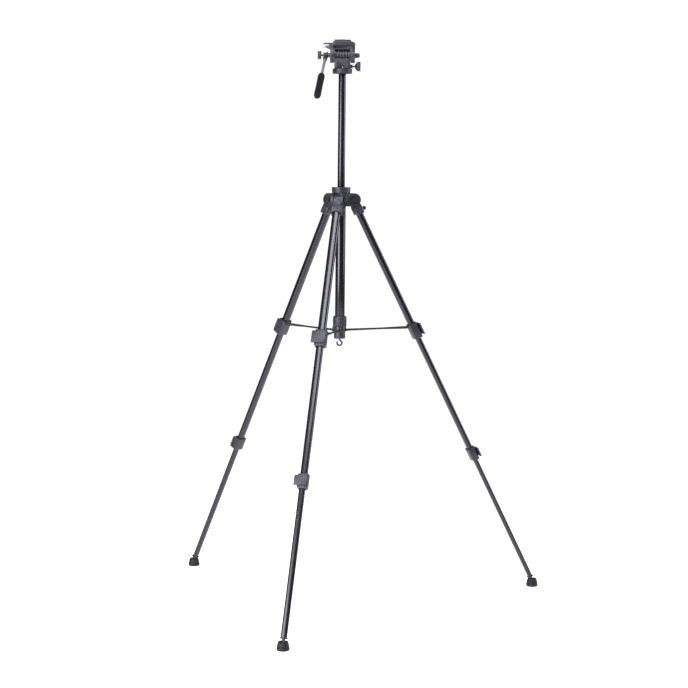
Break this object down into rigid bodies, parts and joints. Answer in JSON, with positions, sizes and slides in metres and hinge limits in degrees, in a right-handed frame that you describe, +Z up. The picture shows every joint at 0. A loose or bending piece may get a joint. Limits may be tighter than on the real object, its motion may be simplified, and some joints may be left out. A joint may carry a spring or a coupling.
{
  "type": "camera tripod",
  "caption": "Folding telescopic tripod with a sliding centre column, mid-level spreader and a pan and tilt head with a handle and quick release plate.",
  "frame": {"origin": "on the floor, on the centre column's axis", "axes": "+Z up; the pan handle points to -Y; +X is to the right as seen from the handle's side"},
  "size_m": [1.1981, 1.1766, 1.805],
  "materials": {
    "black_plastic": "satin moulded",
    "black_aluminium": "black anodised, satin",
    "black_steel": "black coated",
    "bright_steel": "plated",
    "grey_aluminium": "grey anodised",
    "rubber": "matte",
    "foam": "closed-cell foam"
  },
  "bodies": {
    "crown": {"crown": "black_plastic", "leg_pivot_bolts": "bright_steel", "sleeve": "black_aluminium", "end_cap": "black_plastic"},
    "column_lock": {"column_lock_ring": "black_plastic"},
    "hook": {"hook": "black_steel"},
    "column": {"centre_column": "black_aluminium", "pan_base": "black_plastic"},
    "pan": {"pan_body": "black_plastic", "tilt_drum": "black_plastic"},
    "pan_knob": {"pan_lock_knob": "black_plastic"},
    "tilt": {"tilt_cradle": "black_plastic", "quick_plate": "black_plastic"},
    "screw": {"camera_screw": "bright_steel"},
    "plate_lever": {"plate_lever": "black_plastic"},
    "safety_pin": {"safety_pin": "bright_steel"},
    "tilt_knob": {"tilt_lock_knob": "black_plastic"},
    "handle": {"handle_clamp": "black_plastic", "handle_rod": "grey_aluminium", "handle_grip": "foam"},
    "handle_knob": {"handle_knob": "black_plastic"},
    "spreader": {"spreader_hub": "black_plastic", "spreader_pins": "bright_steel"},
    "spreader_lock": {"spreader_lock_ring": "black_plastic"},
    "leg_front": {"leg_front_casting": "black_plastic", "leg_front_upper_tube": "black_aluminium", "leg_front_upper_collar": "black_plastic"},
    "leg_front_upper_lever": {"leg_front_upper_lever": "black_plastic"},
    "leg_front_middle": {"leg_front_middle_tube": "black_aluminium", "leg_front_lower_collar": "black_plastic"},
    "leg_front_lower_lever": {"leg_front_lower_lever": "black_plastic"},
    "leg_front_lower": {"leg_front_lower_tube": "black_aluminium", "leg_front_ankle": "black_plastic"},
    "leg_front_foot": {"leg_front_foot": "rubber"},
    "brace_front_strap": {"brace_front_strap": "black_steel"},
    "brace_front_fork": {"brace_front_fork": "black_steel"},
    "leg_right": {"leg_right_casting": "black_plastic", "leg_right_upper_tube": "black_aluminium", "leg_right_upper_collar": "black_plastic"},
    "leg_right_upper_lever": {"leg_right_upper_lever": "black_plastic"},
    "leg_right_middle": {"leg_right_middle_tube": "black_aluminium", "leg_right_lower_collar": "black_plastic"},
    "leg_right_lower_lever": {"leg_right_lower_lever": "black_plastic"},
    "leg_right_lower": {"leg_right_lower_tube": "black_aluminium", "leg_right_ankle": "black_plastic"},
    "leg_right_foot": {"leg_right_foot": "rubber"},
    "brace_right_strap": {"brace_right_strap": "black_steel"},
    "brace_right_fork": {"brace_right_fork": "black_steel"},
    "leg_left": {"leg_left_casting": "black_plastic", "leg_left_upper_tube": "black_aluminium", "leg_left_upper_collar": "black_plastic"},
    "leg_left_upper_lever": {"leg_left_upper_lever": "black_plastic"},
    "leg_left_middle": {"leg_left_middle_tube": "black_aluminium", "leg_left_lower_collar": "black_plastic"},
    "leg_left_lower_lever": {"leg_left_lower_lever": "black_plastic"},
    "leg_left_lower": {"leg_left_lower_tube": "black_aluminium", "leg_left_ankle": "black_plastic"},
    "leg_left_foot": {"leg_left_foot": "rubber"},
    "brace_left_strap": {"brace_left_strap": "black_steel"},
    "brace_left_fork": {"brace_left_fork": "black_steel"}
  },
  "joints": [
    {"name": "column_lock_turn", "type": "hinge", "parent": "crown", "child": "column_lock", "pos_m": [0, 0, 1.325], "axis": [0, 0, 1], "range_deg": [0, 60]},
    {"name": "hook_swivel", "type": "hinge", "parent": "crown", "child": "hook", "pos_m": [0, 0, 0.85], "axis": [0, 0, 1], "continuous": true},
    {"name": "column_slide", "type": "slide", "parent": "crown", "child": "column", "axis": [0, 0, -1], "range_m": [0, 0.352]},
    {"name": "pan_turn", "type": "hinge", "parent": "column", "child": "pan", "pos_m": [0, 0, 1.704], "axis": [0, 0, 1], "continuous": true},
    {"name": "pan_knob_turn", "type": "hinge", "parent": "pan", "child": "pan_knob", "pos_m": [0.04, 0, 1.7169], "axis": [1, 0, 0], "range_deg": [0, 180]},
    {"name": "tilt_turn", "type": "hinge", "parent": "pan", "child": "tilt", "pos_m": [0, 0, 1.7515], "axis": [1, 0, 0], "range_deg": [-60, 90]},
    {"name": "camera_screw_turn", "type": "hinge", "parent": "tilt", "child": "screw", "pos_m": [0, 0, 1.794], "axis": [0, 0, 1], "continuous": true},
    {"name": "plate_lever_turn", "type": "hinge", "parent": "tilt", "child": "plate_lever", "pos_m": [-0.0385, 0, 1.788], "axis": [0, 0, 1], "range_deg": [-60, 0]},
    {"name": "safety_pin_pull", "type": "slide", "parent": "tilt", "child": "safety_pin", "axis": [-1, 0, 0], "range_m": [0, 0.003], "stiffness_N_per_m": 200},
    {"name": "tilt_knob_turn", "type": "hinge", "parent": "tilt", "child": "tilt_knob", "pos_m": [0.045, 0, 1.7515], "axis": [1, 0, 0], "range_deg": [0, 120]},
    {"name": "handle_turn", "type": "hinge", "parent": "tilt", "child": "handle", "pos_m": [-0.053, 0, 1.7515], "axis": [1, 0, 0], "range_deg": [-60, 45]},
    {"name": "handle_knob_turn", "type": "hinge", "parent": "handle", "child": "handle_knob", "pos_m": [-0.07, 0, 1.7515], "axis": [1, 0, 0], "range_deg": [0, 180]},
    {"name": "spreader_slide", "type": "slide", "parent": "crown", "child": "spreader", "axis": [0, 0, 1], "range_m": [0, 0.16955]},
    {"name": "spreader_lock_turn", "type": "hinge", "parent": "spreader", "child": "spreader_lock", "pos_m": [0, 0, 0.905], "axis": [0, 0, 1], "range_deg": [0, 60]},
    {"name": "leg_front_fold", "type": "hinge", "parent": "crown", "child": "leg_front", "pos_m": [-0.009, -0.03898, 1.295], "axis": [0.9744, -0.225, 0], "range_deg": [0, 24.4]},
    {"name": "leg_front_upper_lever_flip", "type": "hinge", "parent": "leg_front", "child": "leg_front_upper_lever", "pos_m": [-0.04389, -0.26659, 0.87774], "axis": [0.1018, 0.4408, 0.8918], "range_deg": [0, 100]},
    {"name": "leg_front_middle_slide", "type": "slide", "parent": "leg_front", "child": "leg_front_middle", "axis": [0.1018, 0.4408, 0.8918], "range_m": [0, 0.4]},
    {"name": "leg_front_lower_lever_flip", "type": "hinge", "parent": "leg_front_middle", "child": "leg_front_lower_lever", "pos_m": [-0.09215, -0.4685, 0.46501], "axis": [0.1018, 0.4408, 0.8918], "range_deg": [0, 100]},
    {"name": "leg_front_lower_slide", "type": "slide", "parent": "leg_front_middle", "child": "leg_front_lower", "axis": [0.1018, 0.4408, 0.8918], "range_m": [0, 0.43]},
    {"name": "leg_front_foot_tilt", "type": "hinge", "parent": "leg_front_lower", "child": "leg_front_foot", "pos_m": [-0.15451, -0.66924, 0.02], "axis": [-0.9744, 0.225, 0], "range_deg": [-5, 45]},
    {"name": "brace_front_strap_turn", "type": "hinge", "parent": "spreader", "child": "brace_front_strap", "pos_m": [0.0009, -0.02279, 0.877], "axis": [0.9744, -0.225, 0], "range_deg": [0, 86.23]},
    {"name": "brace_front_fork_turn", "type": "hinge", "parent": "leg_front", "child": "brace_front_fork", "pos_m": [-0.04555, -0.22395, 0.88153], "axis": [0.9744, -0.225, 0], "range_deg": [0, 61.83]},
    {"name": "leg_right_fold", "type": "hinge", "parent": "crown", "child": "leg_right", "pos_m": [0.03825, 0.0117, 1.295], "axis": [-0.2924, 0.9563, 0], "range_deg": [0, 24.4]},
    {"name": "leg_right_upper_lever_flip", "type": "hinge", "parent": "leg_right", "child": "leg_right_upper_lever", "pos_m": [0.25282, 0.09528, 0.87774], "axis": [-0.4327, -0.1323, 0.8918], "range_deg": [0, 100]},
    {"name": "leg_right_middle_slide", "type": "slide", "parent": "leg_right", "child": "leg_right_middle", "axis": [-0.4327, -0.1323, 0.8918], "range_m": [0, 0.4]},
    {"name": "leg_right_lower_lever_flip", "type": "hinge", "parent": "leg_right_middle", "child": "leg_right_lower_lever", "pos_m": [0.45181, 0.15445, 0.46501], "axis": [-0.4327, -0.1323, 0.8918], "range_deg": [0, 100]},
    {"name": "leg_right_lower_slide", "type": "slide", "parent": "leg_right_middle", "child": "leg_right_lower", "axis": [-0.4327, -0.1323, 0.8918], "range_m": [0, 0.43]},
    {"name": "leg_right_foot_tilt", "type": "hinge", "parent": "leg_right_lower", "child": "leg_right_foot", "pos_m": [0.65683, 0.20081, 0.02], "axis": [0.2924, -0.9563, 0], "range_deg": [-5, 45]},
    {"name": "brace_right_strap_turn", "type": "hinge", "parent": "spreader", "child": "brace_right_strap", "pos_m": [0.01928, 0.01217, 0.877], "axis": [-0.2924, 0.9563, 0], "range_deg": [0, 86.23]},
    {"name": "brace_right_fork_turn", "type": "hinge", "parent": "leg_right", "child": "brace_right_fork", "pos_m": [0.21672, 0.07253, 0.88153], "axis": [-0.2924, 0.9563, 0], "range_deg": [0, 61.83]},
    {"name": "leg_left_fold", "type": "hinge", "parent": "crown", "child": "leg_left", "pos_m": [-0.02925, 0.02728, 1.295], "axis": [-0.682, -0.7314, 0], "range_deg": [0, 24.4]},
    {"name": "leg_left_upper_lever_flip", "type": "hinge", "parent": "leg_left", "child": "leg_left_upper_lever", "pos_m": [-0.20892, 0.17131, 0.87774], "axis": [0.3309, -0.3086, 0.8918], "range_deg": [0, 100]},
    {"name": "leg_left_middle_slide", "type": "slide", "parent": "leg_left", "child": "leg_left_middle", "axis": [0.3309, -0.3086, 0.8918], "range_m": [0, 0.4]},
    {"name": "leg_left_lower_lever_flip", "type": "hinge", "parent": "leg_left_middle", "child": "leg_left_lower_lever", "pos_m": [-0.35966, 0.31406, 0.46501], "axis": [0.3309, -0.3086, 0.8918], "range_deg": [0, 100]},
    {"name": "leg_left_lower_slide", "type": "slide", "parent": "leg_left_middle", "child": "leg_left_lower", "axis": [0.3309, -0.3086, 0.8918], "range_m": [0, 0.43]},
    {"name": "leg_left_foot_tilt", "type": "hinge", "parent": "leg_left_lower", "child": "leg_left_foot", "pos_m": [-0.50233, 0.46843, 0.02], "axis": [0.682, 0.7314, 0], "range_deg": [-5, 45]},
    {"name": "brace_left_strap_turn", "type": "hinge", "parent": "spreader", "child": "brace_left_strap", "pos_m": [-0.02018, 0.01062, 0.877], "axis": [-0.682, -0.7314, 0], "range_deg": [0, 86.23]},
    {"name": "brace_left_fork_turn", "type": "hinge", "parent": "leg_left", "child": "brace_left_fork", "pos_m": [-0.17118, 0.15142, 0.88153], "axis": [-0.682, -0.7314, 0], "range_deg": [0, 61.83]}
  ],
  "couplings": [
    {"joint": "spreader_slide", "follows": "leg_front_fold", "m_per_rad": 0.39744},
    {"joint": "brace_front_strap_turn", "follows": "leg_front_fold", "ratio": 3.5257},
    {"joint": "brace_front_fork_turn", "follows": "leg_front_fold", "ratio": 2.5257},
    {"joint": "leg_right_fold", "follows": "leg_front_fold", "ratio": 1},
    {"joint": "brace_right_strap_turn", "follows": "leg_front_fold", "ratio": 3.5257},
    {"joint": "brace_right_fork_turn", "follows": "leg_front_fold", "ratio": 2.5257},
    {"joint": "leg_left_fold", "follows": "leg_front_fold", "ratio": 1},
    {"joint": "brace_left_strap_turn", "follows": "leg_front_fold", "ratio": 3.5257},
    {"joint": "brace_left_fork_turn", "follows": "leg_front_fold", "ratio": 2.5257}
  ]
}
